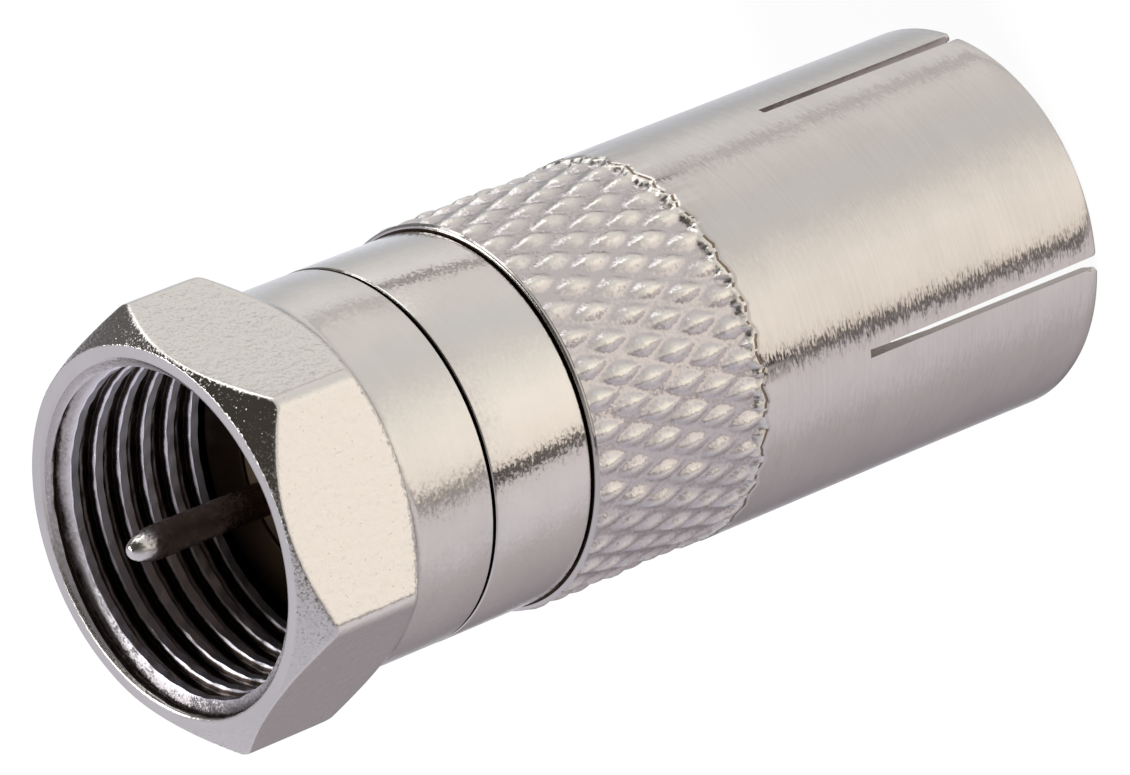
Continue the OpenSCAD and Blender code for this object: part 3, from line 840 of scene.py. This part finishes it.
# %% Centre contact
round_columns = 120
angle = np.arange(round_columns) / round_columns * math.tau
ends, rows = len(contact_rows), len(contact_outline)
faces, uvs = grid_faces(rows, round_columns), grid_uvs(rows, round_columns)
keep = np.ones(faces.shape[:2], bool)
keep[ends - 1] = False
extra = [list(range((ends - 1) * round_columns, ends * round_columns)),
         list(range((ends + 1) * round_columns - 1, ends * round_columns - 1, -1))]
wide = round(slit_w / contact_r / math.tau * round_columns / 2)
for centre in (0, round_columns // 2):
    extra += open_cut(keep, slit_depth, (centre - wide) % round_columns, centre + wide)
cap_uvs = np.stack([np.cos(angle), np.sin(angle)], -1)
contact = make_piece(
    "centre_contact_turned",
    round_axis(contact_outline[:, :1], contact_outline[:, 1:], angle[None]),
    faces[keep].tolist() + extra,
    np.concatenate([uvs[keep].reshape(-1, 2), cap_uvs, cap_uvs, small_uvs(extra[2:])]))
# The pin above the insulator darkens towards its shaft as painted shade.
contact.data.materials.append(pin_painted_shade)
contact.data.materials.append(contact_finish)
for face in contact.data.polygons:
    face.material_index = int(face.center[2] < insulator_z * MM)
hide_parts("centre_contact")
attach(contact, "adapter_body")

# %% [markdown]
# ## Light
#
# Metal shows what stands round it, and on a real set that is white card, dark card
# and the gaps between them. They could be planes with lamps behind, but a world of
# soft bands is lighter to render and never casts a shadow by mistake. The outside
# of an upright cylinder mirrors directions below the horizon, so the lower half of
# the world carries the bands by compass direction. Each band is written down by the
# side of the cylinder that shows it, because a side turned by one degree mirrors a
# direction two degrees further on.

# %% Bands that the turned sides mirror
bands = [
    (182, (1.02, 1.03, 1.08)), (188, (0.80, 0.82, 0.88)), (194, (0.67, 0.69, 0.75)),
    (200, (0.55, 0.56, 0.58)), (205, (0.57, 0.57, 0.58)), (212, (0.70, 0.68, 0.67)),
    (218, (0.80, 0.78, 0.77)), (221.4, (0.78, 0.76, 0.75)), (222.5, (0.16, 0.14, 0.13)),
    (223.9, (0.16, 0.14, 0.13)), (225.2, (0.72, 0.68, 0.67)), (236, (0.72, 0.69, 0.68)),
    (248, (0.69, 0.68, 0.67)), (254, (0.73, 0.70, 0.68)), (262, (0.90, 0.86, 0.80)),
    (270, (1.01, 0.95, 0.88)), (278, (1.00, 0.93, 0.85)), (284, (0.97, 0.90, 0.82)),
    (286.9, (0.90, 0.80, 0.73)), (287.8, (0.05, 0.035, 0.03)), (290.3, (0.02, 0.015, 0.015)),
    (291.4, (0.54, 0.50, 0.51)), (293, (0.69, 0.64, 0.66)), (300, (0.70, 0.66, 0.69)),
    (308, (0.63, 0.60, 0.63)), (316, (0.48, 0.44, 0.46)), (326, (0.41, 0.37, 0.39)),
    (336, (0.33, 0.30, 0.32)), (348, (0.24, 0.22, 0.24)),
]
first_mirror = -59.6
mirrored = [(first_mirror - 2 * side, colour) for side, colour in bands]
print("studio bands:", len(mirrored))

# %% [markdown]
# ### Above the cylinder
#
# The flats, the chamfers and the knurl's mounds lean other ways and mirror the
# horizon and the space over it. So the world has four zones by height, each with
# its own ramp round the compass, and they are blended where they meet.

# %% Bands for the leaning faces
shade, grey, pale, silver = (0.05, 0.045, 0.04), (0.14, 0.13, 0.13), (1.5,) * 3, (1.6,) * 3
overhead_lamp, dim = (4,) * 3, (0.2, 0.19, 0.2)
sides = [
    (-178, shade), (-125, shade), (-95, (0.20, 0.19, 0.20)),
    (-75, (0.56, 0.55, 0.62)), (-30, (0.56, 0.55, 0.62)), (20, (0.54, 0.53, 0.60)),
    (60, (0.45, 0.44, 0.48)), (90, (0.20, 0.19, 0.18)), (130, shade), (178, shade)]
with_lamp = sides[:1] + [
    (-129, shade), (-126, overhead_lamp), (-100, overhead_lamp), (-97, dim)] + sides[3:]
horizon = [
    (-178, (0.7, 0.68, 0.66)), (-168, silver), (-148.5, pale), (-147.5, grey), (-144.5, grey),
    (-142.5, pale), (-135, silver), (-124, grey), (-95, (0.12, 0.12, 0.12)),
    (-75, (0.45, 0.44, 0.48)), (-40, (0.6, 0.59, 0.65)), (40, (0.5, 0.49, 0.55)),
    (76, (0.5, 0.47, 0.48)), (79.5, (0.05, 0.04, 0.04)), (84.5, (0.05, 0.04, 0.04)),
    (88, (0.55, 0.5, 0.48)), (100, (0.72, 0.67, 0.64)), (160, (0.6, 0.58, 0.56))]
print("stops above the cylinder:", len(sides), len(with_lamp), len(horizon))

# %% World
world = bpy.data.worlds.new("studio")
bpy.context.scene.world = world
world.use_nodes = True
add = node_adder(world.node_tree)
sky = add("TexCoord").outputs["Generated"]
east, north, height = add("SeparateXYZ", {0: sky}).outputs
turn = add("Math", {0: north, 1: east}, operation="ARCTAN2")
turn = add("Math", {0: turn.outputs[0], 1: 1 / math.tau, 2: 0.5}, operation="MULTIPLY_ADD")


def compass_ramp(name, stops):
    """A colour ramp over the compass from (degrees, colour) pairs, where -180 to 180
    degrees becomes the place 0 to 1."""
    ramp = add("ValToRGB", {0: turn.outputs[0]}, label=name)
    set_stops(ramp, sorted((((degrees + 180) % 360) / 360, colour) for degrees, colour in stops))
    return ramp.outputs[0]


def zone(start, end):
    """0 before start and 1 past end, by the height of the direction, eased between."""
    return add("MapRange", {"Value": height, "From Min": start, "From Max": end},
               interpolation_type="SMOOTHSTEP").outputs[0]


top = blend(add, zone(0.55, 0.62), compass_ramp("above the horizon", sides),
            compass_ramp("a lamp overhead", with_lamp))
above = blend(add, zone(0.12, 0.3), compass_ramp("round the horizon", horizon), top)
studio = blend(add, zone(-0.34, -0.46), above, compass_ramp("below the horizon", mirrored))
rays = add("LightPath").outputs
see_white = add("Math", {0: rays["Is Camera Ray"], 1: rays["Is Transmission Ray"]},
                operation="MAXIMUM")
colour = blend(add, see_white.outputs[0], studio, (1, 1, 1))
background = add("Background", {0: colour, 1: 1.0})
add("OutputWorld", {0: background.outputs[0]})
print("world nodes:", len(world.node_tree.nodes))

# %% [markdown]
# ## Floor
#
# The floor is a pale sheet that fades into the white behind it and keeps only a
# faint shadow. A plain sheet would hide the bands below the horizon, so this one
# is open to mirror rays and to the light that crosses it.

# %% Floor
floor_half, shadow_share = 0.4, 0.05
floor_material, add = new_material("pale_floor")
rays = add("LightPath").outputs
lit = add("BsdfDiffuse", {"Color": (0.9, 0.9, 0.9, 1)})
white = add("Emission", {"Color": (1, 1, 1, 1), "Strength": 1.0})
seen = add("MixShader", {0: shadow_share, 1: white.outputs[0], 2: lit.outputs[0]})
shown = add("MixShader", {0: rays["Is Camera Ray"], 1: lit.outputs[0], 2: seen.outputs[0]})
open_to = add("Math", {0: rays["Is Glossy Ray"], 1: rays["Is Shadow Ray"]}, operation="MAXIMUM")
clear = add("BsdfTransparent")
surface = add("MixShader", {0: open_to.outputs[0], 1: shown.outputs[0], 2: clear.outputs[0]})
add("OutputMaterial", {"Surface": surface.outputs[0]})
floor_mesh = bpy.data.meshes.new("floor")
floor_mesh.from_pydata([(x * floor_half, y * floor_half, 0)
                        for x, y in ((-1, -1), (1, -1), (1, 1), (-1, 1))], [], [(0, 1, 2, 3)])
floor = bpy.data.objects.new("floor", floor_mesh)
floor.data.materials.append(floor_material)
bpy.context.scene.collection.objects.link(floor)
print("the floor is", 2 * floor_half, "m wide")

# %% [markdown]
# ## Lamps
#
# The world gives nearly all of the light. One soft lamp adds the shadow and another
# lifts the far side a little. They are hidden from mirror rays, because a lamp's
# square would show in the nickel.


# %% Lamps
def lamp(name, azimuth, elevation, distance, size, power):
    """A square lamp that looks at the origin from the given direction in degrees, at
    a distance in metres."""
    a, e = math.radians(azimuth), math.radians(elevation)
    data = bpy.data.lights.new(name, "AREA")
    data.size, data.energy = size, power
    light = bpy.data.objects.new(name, data)
    toward = np.array([math.cos(e) * math.cos(a), math.cos(e) * math.sin(a), math.sin(e)])
    light.location = toward * distance
    light.rotation_euler = (math.pi / 2 - e, 0, a + math.pi / 2)
    light.visible_glossy = False
    bpy.context.scene.collection.objects.link(light)
    print(name, "lamp at", (toward * distance / MM).round(0).tolist(), "mm")


lamp("key", 32, 58, distance=0.35, size=0.10, power=1.8)
lamp("fill", 210, 50, distance=0.35, size=0.16, power=0.03)

# %% [markdown]
# ## Camera
#
# A long lens from a little above the nut, rolled so that the adapter lies across
# the view from its nut at the lower left to its socket at the upper right. A Track
# To constraint could aim it, but it knows nothing of roll, so the camera's three
# axes are worked out and set as its matrix.

# %% Camera
aim = np.array([0.234, 0.127, 14.444]) * MM
distance, roll = 236.02 * MM, math.radians(-112.08)
azimuth, elevation = math.radians(120.4), math.radians(37.49)
back = np.array([math.cos(elevation) * math.cos(azimuth),
                 math.cos(elevation) * math.sin(azimuth), math.sin(elevation)])
level_right = np.cross([0, 0, 1], back)
level_right /= np.linalg.norm(level_right)
level_up = np.cross(back, level_right)
right = math.cos(roll) * level_right + math.sin(roll) * level_up
up = np.cross(back, right)
lens = bpy.data.cameras.new("camera")
lens.lens, lens.sensor_width, lens.sensor_fit = 290.4, 36, "HORIZONTAL"
lens.clip_start, lens.clip_end = 0.01, 10
camera = bpy.data.objects.new("camera", lens)
place = aim + back * distance
camera.matrix_world = Matrix([*np.stack([right, up, back, place], 1).tolist(), [0, 0, 0, 1]])
bpy.context.scene.collection.objects.link(camera)
bpy.context.scene.camera = camera
bpy.context.scene.view_settings.view_transform = "Standard"
print("camera at", (place / MM).round(2).tolist(), "mm")
